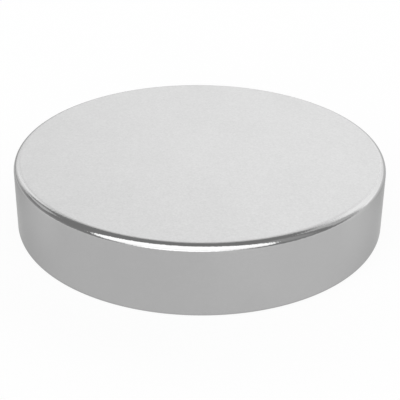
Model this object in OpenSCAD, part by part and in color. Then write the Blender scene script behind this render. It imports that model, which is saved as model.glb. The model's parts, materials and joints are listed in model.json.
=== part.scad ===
// Disc magnet: one sintered, ground, tumbled and nickel-plated piece.
// It rests on its lower pole face, centred on the origin, with +Z along its axis of magnetisation.
// All sizes are in millimetres and are measured over the plating.

/* [Disc] */
// Diameter over the plated rim
disc_d = 25; // [8:0.5:80]
// Thickness from pole face to pole face
disc_t = 5; // [1.5:0.1:30]

/* [Edges] */
// Radius of the tumbled round between each pole face and the rim
edge_r = 0.5; // [0.1:0.05:0.7]

/* [Smoothness] */
// Facets round the disc
disc_facets = 180; // [48:12:256]
// Facets round a full circle of the edge's round
edge_facets = 96; // [24:8:192]

/* [Hidden] */

disc_r = disc_d / 2;

// Radius of the flat part of a pole face, where the edge's round begins
pole_r = disc_r - edge_r;

// Height of the straight part of the rim, between the two rounds
rim_h = disc_t - 2 * edge_r;

// The round at one corner of the section, given the height of its centre
module edge_round(centre_z) {
    translate([pole_r, centre_z])
        circle(r = edge_r, $fn = edge_facets);
}

// Half of the disc's section, drawn from the axis outwards:
// the pole faces bound the first square, the rim bounds the second,
// and a quarter of a circle joins them without a step at each corner
module half_section() {
    square([pole_r, disc_t]);
    translate([0, edge_r])
        square([disc_r, rim_h]);
    edge_round(edge_r);
    edge_round(disc_t - edge_r);
}

// The magnet is the half section turned about its own axis
module magnet() {
    color([0.74, 0.74, 0.75])
        rotate_extrude($fn = disc_facets)
            half_section();
}

magnet();
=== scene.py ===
# %% [markdown]
# # A disc magnet in satin nickel
# The real thing is one piece. Powder is pressed and sintered, the two pole faces are ground flat, the edges
# are tumbled round, and the whole disc is plated with nickel.
# With a shape this plain, the picture lives on three things: a true round along the edge, a plating that
# isn't equally glossy everywhere, and lights that are worth reflecting. Each gets its own cells below.

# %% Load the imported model
import json
import math

import bpy
from mathutils import Matrix, Vector


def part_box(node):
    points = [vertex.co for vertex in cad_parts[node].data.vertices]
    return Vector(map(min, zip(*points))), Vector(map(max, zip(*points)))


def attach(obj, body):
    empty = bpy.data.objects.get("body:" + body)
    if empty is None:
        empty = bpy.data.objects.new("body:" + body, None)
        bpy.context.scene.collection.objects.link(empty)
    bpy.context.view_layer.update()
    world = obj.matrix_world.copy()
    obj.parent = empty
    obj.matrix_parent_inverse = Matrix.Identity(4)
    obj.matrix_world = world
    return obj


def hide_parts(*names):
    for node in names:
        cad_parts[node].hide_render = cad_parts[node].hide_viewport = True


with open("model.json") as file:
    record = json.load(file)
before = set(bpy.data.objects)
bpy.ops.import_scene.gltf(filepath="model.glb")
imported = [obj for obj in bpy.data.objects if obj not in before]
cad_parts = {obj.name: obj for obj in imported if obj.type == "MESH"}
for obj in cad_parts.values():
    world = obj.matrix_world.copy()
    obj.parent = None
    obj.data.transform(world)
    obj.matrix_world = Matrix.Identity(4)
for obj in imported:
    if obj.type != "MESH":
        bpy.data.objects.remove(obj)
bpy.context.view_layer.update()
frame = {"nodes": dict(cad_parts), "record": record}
scene = bpy.context.scene
print("packed nodes:", sorted(frame["nodes"]))

# %% [markdown]
# ## Sizes
# Nothing is measured twice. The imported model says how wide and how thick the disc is, and its rim mount
# says how long the straight part of the rim is. What is left above and below that is the round of the edge.
# Blender works in metres, so a millimetre gets a name.

# %% Sizes of the disc
MM = 0.001

disc_low, disc_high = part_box("magnet")
disc_radius = (disc_high.x - disc_low.x) / 2
disc_thickness = disc_high.z - disc_low.z

rim_mount = next(mount for mount in frame["record"]["mounts"] if mount["name"] == "rim")
rim_height = rim_mount["dims"]["length_mm"] * MM
edge_radius = (disc_thickness - rim_height) / 2
print(f"disc: {2 * disc_radius / MM:.2f} x {disc_thickness / MM:.2f} mm")
print(f"edge radius: {edge_radius / MM:.3f} mm")

# %% [markdown]
# ## Camera
# The photograph is a close view, so its perspective is strong: the far side of the disc looks narrower than
# the near side. A camera that stands at the wrong distance can't hide that by zooming. The distance,
# height, tilt and focal length below were fitted to the disc's outline, and the small roll is there because
# the photograph leans to the right by half a degree.
# A camera looks along its own -Z. Turning it 90 degrees about X makes it look along +Y, and it is tipped
# down from there. The roll is about the camera's own Z, so it is multiplied in last.

# %% Camera
PHOTO_SIDE = 400
FOCAL_LENGTH_IN_PIXELS = 1056.5
SENSOR_WIDTH = 36.0
CAMERA_PLACE = Vector((0.03, -64.63, 35.93)) * MM
CAMERA_TIPS_DOWN = math.radians(28.16)
CAMERA_ROLL = math.radians(0.53)

camera_data = bpy.data.cameras.new("photo_camera")
camera_data.sensor_width = SENSOR_WIDTH
camera_data.lens = FOCAL_LENGTH_IN_PIXELS / PHOTO_SIDE * SENSOR_WIDTH
camera_data.clip_start = 1 * MM
camera = bpy.data.objects.new("photo_camera", camera_data)
camera.matrix_world = (
    Matrix.Translation(CAMERA_PLACE)
    @ Matrix.Rotation(math.pi / 2 - CAMERA_TIPS_DOWN, 4, "X")
    @ Matrix.Rotation(CAMERA_ROLL, 4, "Z")
)
scene.collection.objects.link(camera)
scene.camera = camera
print(f"lens {camera_data.lens:.1f} mm, {CAMERA_PLACE.length / MM:.0f} mm from the origin")

# %% [markdown]
# ## Helpers for node trees
# Geometry Nodes and shaders are both trees of nodes, and both are wired the same way in Python. The first
# helper adds one node, sets its options, and then fills its inputs: a socket is linked, and a plain value
# is typed in. The second does the same for sums, which need a node each.


# %% Helpers that add a node
def add_node(tree, kind, inputs=None, **options):
    """Adds a node of that kind. Inputs are named or numbered, and hold a socket to link or a value to set."""
    node = tree.nodes.new(kind)
    for option, value in options.items():
        setattr(node, option, value)
    for key, value in (inputs or {}).items():
        if isinstance(value, bpy.types.NodeSocket):
            tree.links.new(value, node.inputs[key])
        else:
            node.inputs[key].default_value = value
    return node


def math_on(tree, operation, *values):
    """One Math node on up to three sockets or numbers. Returns its output."""
    node = add_node(tree, "ShaderNodeMath", dict(enumerate(values)), operation=operation)
    return node.outputs[0]


# %% [markdown]
# ## The disc as a turned shape
# Half of the disc's section is an outline of eight points. It starts on the axis at the upper pole face,
# goes out to the rim, down, and back to the axis. Two of the points are sharp corners, and Fillet Curve
# makes the round there, which is what the tumbling barrel does to the real edge. The other points lie just
# past each round. They keep the pole faces and the rim perfectly flat once the shading is smoothed.
# The outline is a resampled line whose points are moved one by one, each to the place that Index Switch
# holds for its number.

# %% Half of the section
UPPER_CORNER = 2
LOWER_CORNER = 5


def half_section(tree, sizes):
    """Half of the disc's section, as a curve. Its X counts from the rim, and its Y runs down."""
    past_round = math_on(tree, "ADD", sizes["Edge radius"], sizes["Support gap"])
    axis = math_on(tree, "MULTIPLY", sizes["Radius"], -1.0)
    face_end = math_on(tree, "MULTIPLY", past_round, -1.0)
    top = math_on(tree, "MULTIPLY", sizes["Thickness"], -1.0)
    rim_top = math_on(tree, "ADD", top, past_round)
    rim_bottom = math_on(tree, "MULTIPLY", past_round, -1.0)
    outline = (
        (axis, top),
        (face_end, top),
        (0.0, top),
        (0.0, rim_top),
        (0.0, rim_bottom),
        (0.0, 0.0),
        (face_end, 0.0),
        (axis, 0.0),
    )
    index = add_node(tree, "GeometryNodeInputIndex").outputs[0]
    place = add_node(tree, "GeometryNodeIndexSwitch", {"Index": index}, data_type="VECTOR")
    while len(place.index_switch_items) < len(outline):
        place.index_switch_items.new()
    for number, (across, down) in enumerate(outline):
        point = add_node(tree, "ShaderNodeCombineXYZ", {"X": across, "Y": down})
        tree.links.new(point.outputs[0], place.inputs[number + 1])

    line = add_node(tree, "GeometryNodeCurvePrimitiveLine")
    points = add_node(
        tree, "GeometryNodeResampleCurve", {"Curve": line.outputs[0], "Count": len(outline)}
    )
    sharp = add_node(
        tree,
        "GeometryNodeSetPosition",
        {"Geometry": points.outputs[0], "Position": place.outputs[0]},
    )
    is_upper = math_on(tree, "COMPARE", index, float(UPPER_CORNER), 0.5)
    is_lower = math_on(tree, "COMPARE", index, float(LOWER_CORNER), 0.5)
    is_corner = math_on(tree, "ADD", is_upper, is_lower)
    rounded = add_node(
        tree,
        "GeometryNodeFilletCurve",
        {
            "Curve": sharp.outputs[0],
            "Radius": math_on(tree, "MULTIPLY", is_corner, sizes["Edge radius"]),
            "Count": sizes["Steps in a round"],
        },
        mode="POLY",
    )
    return rounded.outputs[0]


# %% [markdown]
# A lathe would turn this section round the axis. Curve to Mesh does the same when its path is a circle. All
# copies of the section meet in the middle of each pole face, and their points there are merged into one.
# A cylinder with a Bevel modifier looks alike from far away, but here every size is an input of the tree,
# and the round stays a true quarter circle, tangent to the face and to the rim.

# %% Tree that turns the section into a disc
MERGE_DISTANCE = 0.0005 * MM


def turned_disc_tree():
    """Geometry Nodes that turn a half section with two rounded corners round the Z axis."""
    tree = bpy.data.node_groups.new("turned_disc", "GeometryNodeTree")
    for name, kind in (
        ("Radius", "NodeSocketFloat"),
        ("Thickness", "NodeSocketFloat"),
        ("Edge radius", "NodeSocketFloat"),
        ("Support gap", "NodeSocketFloat"),
        ("Steps in a round", "NodeSocketInt"),
        ("Steps round the disc", "NodeSocketInt"),
        ("Finish", "NodeSocketMaterial"),
    ):
        tree.interface.new_socket(name, in_out="INPUT", socket_type=kind)
    tree.interface.new_socket("Disc", in_out="OUTPUT", socket_type="NodeSocketGeometry")
    sizes = add_node(tree, "NodeGroupInput").outputs
    section = half_section(tree, sizes)
    path = add_node(
        tree,
        "GeometryNodeCurvePrimitiveCircle",
        {"Resolution": sizes["Steps round the disc"], "Radius": sizes["Radius"]},
        mode="RADIUS",
    )
    turned = add_node(
        tree, "GeometryNodeCurveToMesh", {"Curve": path.outputs[0], "Profile Curve": section}
    )
    closed = add_node(
        tree,
        "GeometryNodeMergeByDistance",
        {"Geometry": turned.outputs[0], "Distance": MERGE_DISTANCE},
    )
    smooth = add_node(tree, "GeometryNodeSetShadeSmooth", {"Geometry": closed.outputs[0]})
    real = add_node(tree, "GeometryNodeRealizeInstances", {"Geometry": smooth.outputs[0]})
    finished = add_node(
        tree, "GeometryNodeSetMaterial", {"Geometry": real.outputs[0], "Material": sizes["Finish"]}
    )
    add_node(tree, "NodeGroupOutput", {"Disc": finished.outputs[0]})
    return tree


disc_tree = turned_disc_tree()
print("disc tree:", len(disc_tree.nodes), "nodes")

# %% [markdown]
# ## What the plating looks like
# Nickel is one skin over the whole disc, so it is one material, but it doesn't shine equally everywhere.
# The pole faces were ground, and keep a fine satin grain. The rounds were rubbed bright in the tumbling
# barrel, and mirror the studio as a thin black line and a thin white line. The rim is in between.
# Three node groups and one material make all of this, and they are built with the helpers below.


# %% Helpers for shaders
def new_group(name, inputs, outputs):
    """An empty shader node group, its input sockets, and the node that takes its outputs."""
    group = bpy.data.node_groups.new(name, "ShaderNodeTree")
    for socket, kind in inputs.items():
        group.interface.new_socket(socket, in_out="INPUT", socket_type="NodeSocket" + kind)
    for socket, kind in outputs.items():
        group.interface.new_socket(socket, in_out="OUTPUT", socket_type="NodeSocket" + kind)
    return group, add_node(group, "NodeGroupInput").outputs, add_node(group, "NodeGroupOutput")


def blend(tree, mask, first, second):
    """The first value where the mask is 0, and the second where it is 1."""
    mix = add_node(tree, "ShaderNodeMix", {0: mask, 2: first, 3: second}, data_type="FLOAT")
    return mix.outputs[0]


def smooth_step(tree, value, start, end):
    """0 before start, 1 after end, and a soft ramp in between."""
    ramp = add_node(
        tree,
        "ShaderNodeMapRange",
        {"Value": value, "From Min": start, "From Max": end},
        interpolation_type="SMOOTHSTEP",
    )
    return ramp.outputs["Result"]


# %% [markdown]
# Painted images could hold the zones of the finish, but a rule is better: the zones follow from how far out
# and how high a point lies. Object coordinates give that, and they stay with the disc wherever it is moved.
# The group below turns them into three masks. Its sizes are in millimetres, like those of the noise later.
# - Round is the polish of the rounds. The satin of the face runs on over the first part of the curve.
# - Rim is the finish of the rim.
# - The third mask is painted shade in the colour. It darkens the rim, as a painted reflection of a grey
#   floor, and reaches a little way up the upper round. Over most of the lower one it is a painted reflection
#   of the shade where the disc stands.
#
# The ramps below are shares of the edge radius, counted from where the face or the rim ends.

# %% Group that finds the rim and the rounds
POLISH_STARTS = 0.1
POLISH_FULL = 0.45
RIM_ENDS = 0.12
DARK_UP_TO = 0.2
LIGHT_FROM = 0.6
# Painted shade: how far the darker colour reaches over the lower round, as a painted reflection of the shade
# where the disc stands.
LOWER_ROUND_PAINTED_SHADE_SHIFT = 0.38


def zones_group():
    """Masks from a point's place on the disc: the polish, the rim's finish, and painted shade on the rim and
    the lower round.
    """
    group, given, result = new_group(
        "finish_zones",
        {"Place": "Vector", "Radius": "Float", "Thickness": "Float", "Edge radius": "Float"},
        {"Round": "Float", "Rim": "Float", "Painted shade": "Float"},
    )
    place = add_node(group, "ShaderNodeSeparateXYZ", {"Vector": given["Place"]}).outputs
    flat = add_node(group, "ShaderNodeCombineXYZ", {"X": place["X"], "Y": place["Y"]})
    outward = add_node(
        group, "ShaderNodeVectorMath", {0: flat.outputs[0]}, operation="LENGTH"
    ).outputs["Value"]
    face_radius = math_on(group, "SUBTRACT", given["Radius"], given["Edge radius"])
    past_face = math_on(group, "SUBTRACT", outward, face_radius)
    past_face = math_on(group, "DIVIDE", past_face, given["Edge radius"])

    middle = math_on(group, "MULTIPLY", given["Thickness"], 0.5)
    from_middle = math_on(group, "ABSOLUTE", math_on(group, "SUBTRACT", place["Z"], middle))
    rim_half = math_on(group, "SUBTRACT", middle, given["Edge radius"])
    past_rim = math_on(group, "SUBTRACT", from_middle, rim_half)
    past_rim = math_on(group, "DIVIDE", past_rim, given["Edge radius"])

    off_face = smooth_step(group, past_face, POLISH_STARTS, POLISH_FULL)
    off_rim = smooth_step(group, past_rim, 0.0, RIM_ENDS)
    below = math_on(group, "LESS_THAN", place["Z"], middle)
    from_dark = math_on(group, "MULTIPLY_ADD", below, -LOWER_ROUND_PAINTED_SHADE_SHIFT, past_rim)
    light = smooth_step(group, from_dark, DARK_UP_TO, LIGHT_FROM)
    group.links.new(math_on(group, "MULTIPLY", off_face, off_rim), result.inputs["Round"])
    group.links.new(math_on(group, "SUBTRACT", 1.0, off_rim), result.inputs["Rim"])
    group.links.new(math_on(group, "SUBTRACT", 1.0, light), result.inputs["Painted shade"])
    return group


zones = zones_group()
print("zones:", len(zones.nodes), "nodes")

# %% [markdown]
# The grain of a ground and tumbled face has no direction left. It is a fine frosting, a tenth of a
# millimetre across, with something a little coarser under it. Two sizes of noise make it. The plating uses
# it as a height for the bump and as a tone, and each of its zones takes it at a strength of its own.

# %% Group for the fine grain
COARSE_GRAIN = 2.5
GRAIN_DETAIL = 1.0
GRAIN_FALL_OFF = 0.5


def grain_group():
    """Fine frosting, as a height around zero. Size is the width of one grain, in millimetres."""
    group, given, result = new_group(
        "plating_grain",
        {"Place": "Vector", "Size": "Float", "Coarse share": "Float"},
        {"Height": "Float"},
    )
    fine_scale = math_on(group, "DIVIDE", 1.0, given["Size"])
    coarse_scale = math_on(group, "DIVIDE", fine_scale, COARSE_GRAIN)
    heights = []
    for scale in (fine_scale, coarse_scale):
        noise = add_node(
            group,
            "ShaderNodeTexNoise",
            {
                "Vector": given["Place"],
                "Scale": scale,
                "Detail": GRAIN_DETAIL,
                "Roughness": GRAIN_FALL_OFF,
            },
            noise_dimensions="3D",
        )
        heights.append(math_on(group, "SUBTRACT", noise.outputs[0], 0.5))
    coarse = math_on(group, "MULTIPLY", heights[1], given["Coarse share"])
    group.links.new(math_on(group, "ADD", heights[0], coarse), result.inputs["Height"])
    return group


grain = grain_group()
print("grain:", len(grain.nodes), "nodes")

# %% [markdown]
# Plating also has clouds: patches of some millimetres that are a little duller or lighter than their
# neighbours. They are far too weak to see as spots, but without them a large flat face looks computed.

# %% Group for the clouds
CLOUD_DETAIL = 3.0
CLOUD_FALL_OFF = 0.55


def clouds_group():
    """Slow variation around zero. Size is the width of one cloud, in millimetres."""
    group, given, result = new_group(
        "plating_clouds", {"Place": "Vector", "Size": "Float"}, {"Cloud": "Float"}
    )
    noise = add_node(
        group,
        "ShaderNodeTexNoise",
        {
            "Vector": given["Place"],
            "Scale": math_on(group, "DIVIDE", 1.0, given["Size"]),
            "Detail": CLOUD_DETAIL,
            "Roughness": CLOUD_FALL_OFF,
        },
        noise_dimensions="3D",
    )
    group.links.new(math_on(group, "SUBTRACT", noise.outputs[0], 0.5), result.inputs["Cloud"])
    return group


clouds = clouds_group()
print("clouds:", len(clouds.nodes), "nodes")

# %% [markdown]
# ## The nickel plating
# Metallic is 1, so the base colour is what the metal reflects: a neutral light grey. Colour and roughness
# each start from the zone's own value. The clouds move both by a little, and the grain moves the colour.
# The rim's colour is lower than the metal's own, and that is painted shade: a painted reflection of a grey
# floor. All that the rim mirrors is the floor, and the floor here is white. The same painted shade covers
# most of the lower round.
# On a metal, Specular Tint is the colour of its reflection near a grazing angle. Below white, it keeps the
# two ends of the rim and the disc's outline from flaring up.
# The bump is a few thousandths of a millimetre high. It is strongest in the rounds, where it frays the ends
# of the white line as in the photograph, and weak on the rim, which mirrors only the even floor.

# %% Material of the plating
FACE_NICKEL = 0.638
# The rounds' colour is lighter than the face's. Part of that is their polish, and part is a painted highlight
# that brightens the white line.
ROUND_NICKEL_AND_HIGHLIGHT = 0.675
# The rim's colour is painted shade, darker than the metal's own: a painted reflection of a grey floor.
RIM_NICKEL_PAINTED_DARKER = 0.466
EDGE_TINT = 0.66
FACE_ROUGHNESS = 0.36
RIM_ROUGHNESS = 0.25
ROUND_ROUGHNESS = 0.10
GRAIN_SIZE = 0.115
COARSE_SHARE = 0.35
GRAIN_HEIGHT = 0.003 * MM
FACE_GRAIN = 1.0
RIM_GRAIN = 0.18
ROUND_GRAIN = 1.4
GRAIN_TONE = 0.128
ROUND_GRAIN_TONE = 0.03
CLOUD_SIZE = 3.5
CLOUD_TONE = 0.03
CLOUD_ROUGHNESS = 0.08


def nickel_plating():
    """Satin on the pole faces, bright on the rounds and half bright on the rim, with painted shade on the rim
    and the lower round.
    """
    material = bpy.data.materials.new("nickel_plating")
    material.use_nodes = True
    tree = material.node_tree
    shader = tree.nodes["Principled BSDF"]
    shader.inputs["Metallic"].default_value = 1.0
    shader.inputs["Specular Tint"].default_value = (EDGE_TINT, EDGE_TINT, EDGE_TINT, 1.0)

    coordinates = add_node(tree, "ShaderNodeTexCoord").outputs["Object"]
    place = add_node(
        tree, "ShaderNodeVectorMath", {0: coordinates, "Scale": 1 / MM}, operation="SCALE"
    ).outputs[0]
    zone = add_node(
        tree,
        "ShaderNodeGroup",
        {
            "Place": place,
            "Radius": disc_radius / MM,
            "Thickness": disc_thickness / MM,
            "Edge radius": edge_radius / MM,
        },
        node_tree=zones,
    ).outputs
    cloud = add_node(
        tree, "ShaderNodeGroup", {"Place": place, "Size": CLOUD_SIZE}, node_tree=clouds
    ).outputs["Cloud"]
    frosting = add_node(
        tree,
        "ShaderNodeGroup",
        {"Place": place, "Size": GRAIN_SIZE, "Coarse share": COARSE_SHARE},
        node_tree=grain,
    ).outputs["Height"]
    strength = blend(tree, zone["Rim"], FACE_GRAIN, RIM_GRAIN)
    strength = blend(tree, zone["Round"], strength, ROUND_GRAIN)
    grain_height = math_on(tree, "MULTIPLY", frosting, strength)

    # Lighter rounds: partly polish, partly a painted highlight on the white line.
    tone = blend(tree, zone["Round"], FACE_NICKEL, ROUND_NICKEL_AND_HIGHLIGHT)
    # Painted shade: the rim and most of the lower round take a darker colour. It stands in for the reflection
    # of a grey floor and of the shade where the disc stands.
    tone = blend(tree, zone["Painted shade"], tone, RIM_NICKEL_PAINTED_DARKER)
    tone = math_on(tree, "MULTIPLY_ADD", cloud, CLOUD_TONE, tone)
    grain_tone = blend(tree, zone["Round"], GRAIN_TONE, ROUND_GRAIN_TONE)
    tone = math_on(tree, "MULTIPLY_ADD", grain_height, grain_tone, tone)
    colour = add_node(
        tree, "ShaderNodeCombineColor", {"Red": tone, "Green": tone, "Blue": tone}
    )
    tree.links.new(colour.outputs[0], shader.inputs["Base Color"])

    roughness = blend(tree, zone["Rim"], FACE_ROUGHNESS, RIM_ROUGHNESS)
    roughness = blend(tree, zone["Round"], roughness, ROUND_ROUGHNESS)
    roughness = math_on(tree, "MULTIPLY_ADD", cloud, CLOUD_ROUGHNESS, roughness)
    tree.links.new(roughness, shader.inputs["Roughness"])

    bump = add_node(
        tree, "ShaderNodeBump", {"Height": grain_height, "Strength": 1.0, "Distance": GRAIN_HEIGHT}
    )
    tree.links.new(bump.outputs[0], shader.inputs["Normal"])
    return material


plating = nickel_plating()
print("plating:", len(plating.node_tree.nodes), "nodes")

# %% [markdown]
# ## Making the disc
# The tree goes on an empty object as a modifier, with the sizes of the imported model. Then the evaluated
# result is kept as a plain mesh, because the rest of the tools expect meshes, and the modifier's carrier is
# removed.

# %% Disc
SUPPORT_GAP = 0.02 * MM
STEPS_IN_A_ROUND = 24
STEPS_ROUND_THE_DISC = 360


def plain_mesh(tree, values, name):
    """Runs a Geometry Nodes tree with these input values, and keeps the result as a mesh object."""
    carrier = bpy.data.objects.new(name + "_carrier", bpy.data.meshes.new(name + "_carrier"))
    scene.collection.objects.link(carrier)
    modifier = carrier.modifiers.new(tree.name, "NODES")
    modifier.node_group = tree
    for socket in tree.interface.items_tree:
        if socket.in_out == "INPUT":
            modifier[socket.identifier] = values[socket.name]
    depsgraph = bpy.context.evaluated_depsgraph_get()
    mesh = bpy.data.meshes.new_from_object(carrier.evaluated_get(depsgraph))
    mesh.name = name
    bpy.data.objects.remove(carrier)
    made = bpy.data.objects.new(name, mesh)
    scene.collection.objects.link(made)
    return made


disc = plain_mesh(
    disc_tree,
    {
        "Radius": disc_radius,
        "Thickness": disc_thickness,
        "Edge radius": edge_radius,
        "Support gap": SUPPORT_GAP,
        "Steps in a round": STEPS_IN_A_ROUND,
        "Steps round the disc": STEPS_ROUND_THE_DISC,
        "Finish": plating,
    },
    "plated_disc",
)
print("disc:", len(disc.data.vertices), "points,", len(disc.data.polygons), "faces")

# %% [markdown]
# ## Floor
# The disc stands on a wide, matt, pale board that reaches far enough to be the horizon in the low views.
# The photograph's ground is plain white. Brighter lamps would give that too, but they would bleach the
# metal with it. Light Path does it alone: a ray that comes from the camera or from a mirror sees mostly
# plain white, and nothing matt is lit by that. What is left of the board still holds the disc's soft shadow.
# A strength of 1 is white. The camera's is a little more, because the board's own share is darker than
# white, and the two have to add up to it.


# %% Helper that makes a material white to the eye
WHITE_TO_THE_EYE = 1.045


def make_white_to_the_eye(material, share, mirrored):
    """Mixes white into what the camera and mirrors see of a material. Nothing matt is lit by it.
    Share is how much of the mix is white, and mirrored is how bright that white is in a mirror."""
    tree = material.node_tree
    output = tree.nodes["Material Output"]
    paths = add_node(tree, "ShaderNodeLightPath").outputs
    seen = math_on(tree, "MAXIMUM", paths["Is Camera Ray"], paths["Is Glossy Ray"])
    seen = math_on(tree, "MAXIMUM", seen, paths["Is Transmission Ray"])
    brightness = blend(tree, paths["Is Camera Ray"], mirrored, WHITE_TO_THE_EYE)
    white = add_node(tree, "ShaderNodeEmission", {"Strength": brightness})
    mixed = add_node(
        tree,
        "ShaderNodeMixShader",
        {
            0: math_on(tree, "MULTIPLY", seen, share),
            1: output.inputs["Surface"].links[0].from_socket,
            2: white.outputs[0],
        },
    )
    tree.links.new(mixed.outputs[0], output.inputs["Surface"])
    material.cycles.emission_sampling = "NONE"


# %% [markdown]
# Nearly all of what the rim shows is this floor, mirrored, so its brightness there is what shades the rim.
# That brightness is painted light and shade, which only mirrors see. It is a little lower on the left, and
# higher just beside the disc, where the rim turns away from the camera. The floor far behind is painted
# dimmer. Only the last sliver of the upper round mirrors that part, and it gives the disc's far outline its
# thin dark line, a painted reflection.
# Each ramp below is a pair of places, in metres from the disc's axis: to the right for X, and away from the
# camera for Y.

# %% Brightness of the floor in a mirror
# Painted light and shade on the floor, seen only in mirrors: where the floor is lighter or darker, and by how
# much.
FROM_LEFT_TO_RIGHT = (-2 * MM, 8 * MM)
BESIDE_THE_DISC = (10 * MM, 16 * MM)
ALONG_THE_FLANKS = (-10 * MM, -6 * MM)
PAST_THE_FLANKS = (-3 * MM, 5 * MM)
FAR_BEHIND = (22 * MM, 42 * MM)
FAR_LEFT_TO_RIGHT = (-15 * MM, 15 * MM)
FLOOR_LEFT = 0.93
FLOOR_FLANKS = 1.1
FLOOR_PAST_FLANKS = 0.9
FLOOR_BEHIND_LEFT = 0.4
FLOOR_BEHIND_RIGHT = 0.72


def painted_floor_light_in_mirrors(tree):
    """How bright a place on the floor is in a mirror: painted light and shade that only mirrors see."""
    place = add_node(tree, "ShaderNodeTexCoord").outputs["Object"]
    place = add_node(tree, "ShaderNodeSeparateXYZ", {"Vector": place}).outputs
    on_right = smooth_step(tree, place["X"], *FROM_LEFT_TO_RIGHT)
    near = blend(tree, on_right, FLOOR_LEFT, 1.0)

    flanks = blend(tree, smooth_step(tree, place["Y"], *ALONG_THE_FLANKS), 1.0, FLOOR_FLANKS)
    past_flanks = smooth_step(tree, place["Y"], *PAST_THE_FLANKS)
    flanks = blend(tree, past_flanks, flanks, FLOOR_PAST_FLANKS)
    beside = smooth_step(tree, math_on(tree, "ABSOLUTE", place["X"]), *BESIDE_THE_DISC)
    near = math_on(tree, "MULTIPLY", near, blend(tree, beside, 1.0, flanks))

    on_far_right = smooth_step(tree, place["X"], *FAR_LEFT_TO_RIGHT)
    far = blend(tree, on_far_right, FLOOR_BEHIND_LEFT, FLOOR_BEHIND_RIGHT)
    return blend(tree, smooth_step(tree, place["Y"], *FAR_BEHIND), near, far)


# %% Floor
FLOOR_HALF = 6.0
FLOOR_COLOUR = 0.95
FLOOR_ROUGHNESS = 0.9
FLOOR_WHITE_SHARE = 0.85


def pale_board():
    """Matt, pale board that looks white and keeps a faint shadow."""
    material = bpy.data.materials.new("pale_board")
    material.use_nodes = True
    tree = material.node_tree
    shader = tree.nodes["Principled BSDF"]
    shader.inputs["Base Color"].default_value = (FLOOR_COLOUR, FLOOR_COLOUR, FLOOR_COLOUR, 1.0)
    shader.inputs["Roughness"].default_value = FLOOR_ROUGHNESS
    shader.inputs["Specular IOR Level"].default_value = 0.0
    make_white_to_the_eye(material, FLOOR_WHITE_SHARE, painted_floor_light_in_mirrors(tree))
    return material


floor_mesh = bpy.data.meshes.new("floor")
floor_corners = [
    (x * FLOOR_HALF, y * FLOOR_HALF, 0.0) for x, y in ((-1, -1), (1, -1), (1, 1), (-1, 1))
]
floor_mesh.from_pydata(floor_corners, [], [(0, 1, 2, 3)])
floor_mesh.materials.append(pale_board())
floor = bpy.data.objects.new("floor", floor_mesh)
scene.collection.objects.link(floor)
print(f"floor: {2 * FLOOR_HALF:.0f} m square")

# %% [markdown]
# ## Light
# Polished metal has no look of its own: it shows the room. The two lines along the front edge say what the
# room was. From the top face down to the rim, the round mirrors the light wall behind the disc, the dark
# ceiling, the large softbox over the camera, and then the floor. So the room is built from those four.
# An area lamp of power P and area A has a radiance of P / (pi A), and what lies behind it adds to that. The
# helper below turns this round, so that each panel is given by the brightness that the metal sees.
# The edge of a softbox is crisp in the metal, but a lit wall has no edge. Parametric holds the place on a
# lamp, from 0 to 1 each way, and three ramps on it let a wall's light fade out.


# %% Helpers for panels of light
PANELS_NEAR = 3.0


def soften(lamp, side_fade, top_fade, bottom_fade):
    """Fades a panel's light out. The fades are shares of its half width, its height and its height."""
    lamp.use_nodes = True
    tree = lamp.node_tree
    place = add_node(tree, "ShaderNodeNewGeometry").outputs["Parametric"]
    place = add_node(tree, "ShaderNodeSeparateXYZ", {"Vector": place}).outputs
    from_middle = math_on(
        tree, "ABSOLUTE", math_on(tree, "MULTIPLY_ADD", place["X"], 2.0, -1.0)
    )
    at_sides = smooth_step(tree, from_middle, 1.0, 1.0 - side_fade)
    at_top = smooth_step(tree, place["Y"], 1.0, 1.0 - top_fade)
    at_bottom = smooth_step(tree, place["Y"], 0.0, bottom_fade)
    shares = math_on(tree, "MULTIPLY", at_sides, math_on(tree, "MULTIPLY", at_top, at_bottom))
    tree.links.new(shares, tree.nodes["Emission"].inputs["Strength"])


def light_panel(
    name, azimuth, elevations, half_width, brightness, shape="RECTANGLE", fade=None, roll=0
):
    """A standing panel whose face looks at the disc. Azimuth 0 is the camera's side and 90 is the right.
    Elevations are its lower and upper edge, seen from the disc. All angles are in degrees, half_width too."""
    turn = math.radians(azimuth)
    bottom, top = (PANELS_NEAR * math.tan(math.radians(angle)) for angle in elevations)
    lamp = bpy.data.lights.new(name, "AREA")
    lamp.shape = shape
    lamp.size = 2 * PANELS_NEAR * math.tan(math.radians(half_width))
    lamp.size_y = top - bottom
    area = lamp.size * lamp.size_y * (math.pi / 4 if shape == "ELLIPSE" else 1)
    lamp.energy = brightness * math.pi * area
    if fade:
        soften(lamp, *fade)
    panel = bpy.data.objects.new(name, lamp)
    place = (PANELS_NEAR * math.sin(turn), -PANELS_NEAR * math.cos(turn), (bottom + top) / 2)
    panel.matrix_world = (
        Matrix.Translation(place)
        @ Matrix.Rotation(turn, 4, "Z")
        @ Matrix.Rotation(math.pi / 2, 4, "X")
        @ Matrix.Rotation(math.radians(roll), 4, "Z")
    )
    panel.visible_camera = False
    scene.collection.objects.link(panel)
    print(f"{name}: {lamp.size:.2f} x {lamp.size_y:.2f} m, {lamp.energy:.0f} W")


# %% [markdown]
# The softbox makes the white line, which tapers at both ends because the box is round. The two walls light
# the pole face, and the glow between them evens it out. The rest are the small differences that the ends of
# the edge show: a fill and a glow on the right, and a narrow strip with a low fill beside it on the left.
# Each line below names a panel, and then gives its azimuth, its lower and upper elevation, half its width
# and its brightness.

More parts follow.
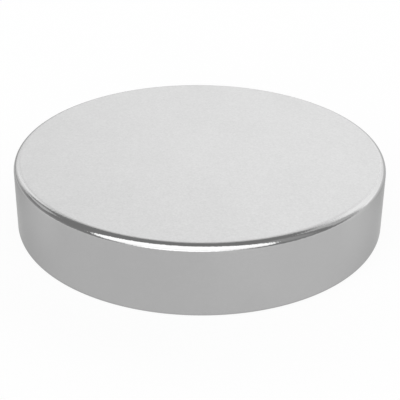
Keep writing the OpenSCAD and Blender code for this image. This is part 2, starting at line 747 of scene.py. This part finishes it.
# %% Panels of light
light_panel("softbox", -10, (1, 69.3), 58, 1.3, shape="ELLIPSE", roll=-3)
light_panel("back_wall", -156.75, (8, 53), 30.25, 0.90, fade=(0.48, 0.55, 0.13))
light_panel("right_wall", 144, (6, 62), 42, 0.935, fade=(0.41, 0.6, 0.11))
light_panel("back_glow", 176, (4, 42), 29, 0.45, fade=(0.75, 0.7, 0.3))
light_panel("right_fill", 97, (14, 56), 13, 0.30)
light_panel("right_glow", 60, (5, 62), 16, 0.12, fade=(0.6, 0.3, 0.1))
light_panel("left_strip", -113, (20, 37), 10, 0.35)
light_panel("left_fill", -127.5, (9, 27), 6.5, 0.36)

# %% [markdown]
# The room itself is the world: pale near the horizon, like a studio wall, and dim overhead. It is drawn
# from the direction of each ray, which Texture Coordinate's Generated output holds in a world. Its Z is the
# sine of the elevation.
# View transform is Standard, so that a colour comes out as it is written.

# %% Room
ROOM_PALE = 0.99
ROOM_DIM = 0.238
PALE_UP_TO_DEGREES = 10.7
DIM_FROM_DEGREES = 14

world = bpy.data.worlds.new("room")
world.use_nodes = True
scene.world = world
room = world.node_tree
direction = add_node(room, "ShaderNodeTexCoord").outputs["Generated"]
height = add_node(room, "ShaderNodeSeparateXYZ", {"Vector": direction}).outputs["Z"]
overhead = smooth_step(
    room,
    height,
    math.sin(math.radians(PALE_UP_TO_DEGREES)),
    math.sin(math.radians(DIM_FROM_DEGREES)),
)
room_light = blend(room, overhead, ROOM_PALE, ROOM_DIM)
room.links.new(room_light, room.nodes["Background"].inputs["Color"])

scene.view_settings.view_transform = "Standard"
print("room:", ROOM_PALE, "near the horizon and", ROOM_DIM, "overhead")

# %% [markdown]
# A pale room alone would put a light line under the black one, at the ends of the edge. Photographers stand
# grey card round polished metal to keep its edges dark, and so does this scene: two low strips, one round
# the left and one on the right, with a gap in front for the foot of the softbox. They stand just inside the
# panels, and the camera doesn't see them, so the background stays white in every view.
# Each point of a strip holds how solid it is, so that the strip ends softly, and how light its grey is.

# %% Finish of the grey card
def grey_card_finish():
    """Even grey that doesn't depend on the lamps, and is clear where the card isn't solid."""
    material = bpy.data.materials.new("grey_card")
    material.use_nodes = True
    tree = material.node_tree
    tree.nodes.remove(tree.nodes["Principled BSDF"])
    solid = add_node(tree, "ShaderNodeAttribute", attribute_name="solid").outputs["Fac"]
    clear = add_node(tree, "ShaderNodeBsdfTransparent").outputs[0]
    shade = add_node(tree, "ShaderNodeAttribute", attribute_name="grey").outputs["Fac"]
    grey = add_node(tree, "ShaderNodeEmission", {"Strength": shade}).outputs[0]
    mixed = add_node(tree, "ShaderNodeMixShader", {0: solid, 1: clear, 2: grey})
    tree.links.new(mixed.outputs[0], tree.nodes["Material Output"].inputs["Surface"])
    material.cycles.emission_sampling = "NONE"
    return material


grey_finish = grey_card_finish()
print("grey card:", len(grey_finish.node_tree.nodes), "nodes")

# %% Grey cards
CARDS_NEAR = 2.9
CARD_FADE_DEGREES = 25
CARD_ROWS = (
    {"elevation": 0, "solid": 1.0, "grey": 0.42},
    {"elevation": 12, "solid": 1.0, "grey": 0.28},
    {"elevation": 15, "solid": 0.0, "grey": 0.24},
)


def grey_card(name, first, last):
    """A curved strip of grey card on the floor, from one azimuth to another. Only mirrors see it."""
    azimuths = range(first, last + 1)
    points = []
    solid = []
    greys = []
    for azimuth in azimuths:
        turn = math.radians(azimuth)
        from_end = min(azimuth - first, last - azimuth)
        for row in CARD_ROWS:
            height = CARDS_NEAR * math.tan(math.radians(row["elevation"]))
            points.append((CARDS_NEAR * math.sin(turn), -CARDS_NEAR * math.cos(turn), height))
            solid.append(row["solid"] * min(1.0, from_end / CARD_FADE_DEGREES))
            greys.append(row["grey"])
    faces = []
    for column in range(len(azimuths) - 1):
        for row_number in range(len(CARD_ROWS) - 1):
            corner = column * len(CARD_ROWS) + row_number
            across = corner + len(CARD_ROWS)
            faces.append((corner, corner + 1, across + 1, across))
    mesh = bpy.data.meshes.new(name)
    mesh.from_pydata(points, [], faces)
    mesh.attributes.new("solid", "FLOAT", "POINT").data.foreach_set("value", solid)
    mesh.attributes.new("grey", "FLOAT", "POINT").data.foreach_set("value", greys)
    mesh.materials.append(grey_finish)
    card = bpy.data.objects.new(name, mesh)
    card.visible_camera = False
    scene.collection.objects.link(card)
    print(f"{name}: {len(faces)} faces")
    return card


left_card = grey_card("left_card", -146, -28)
right_card = grey_card("right_card", 8, 112)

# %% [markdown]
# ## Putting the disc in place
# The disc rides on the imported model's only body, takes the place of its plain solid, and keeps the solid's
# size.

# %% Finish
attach(disc, "root")
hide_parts("magnet")
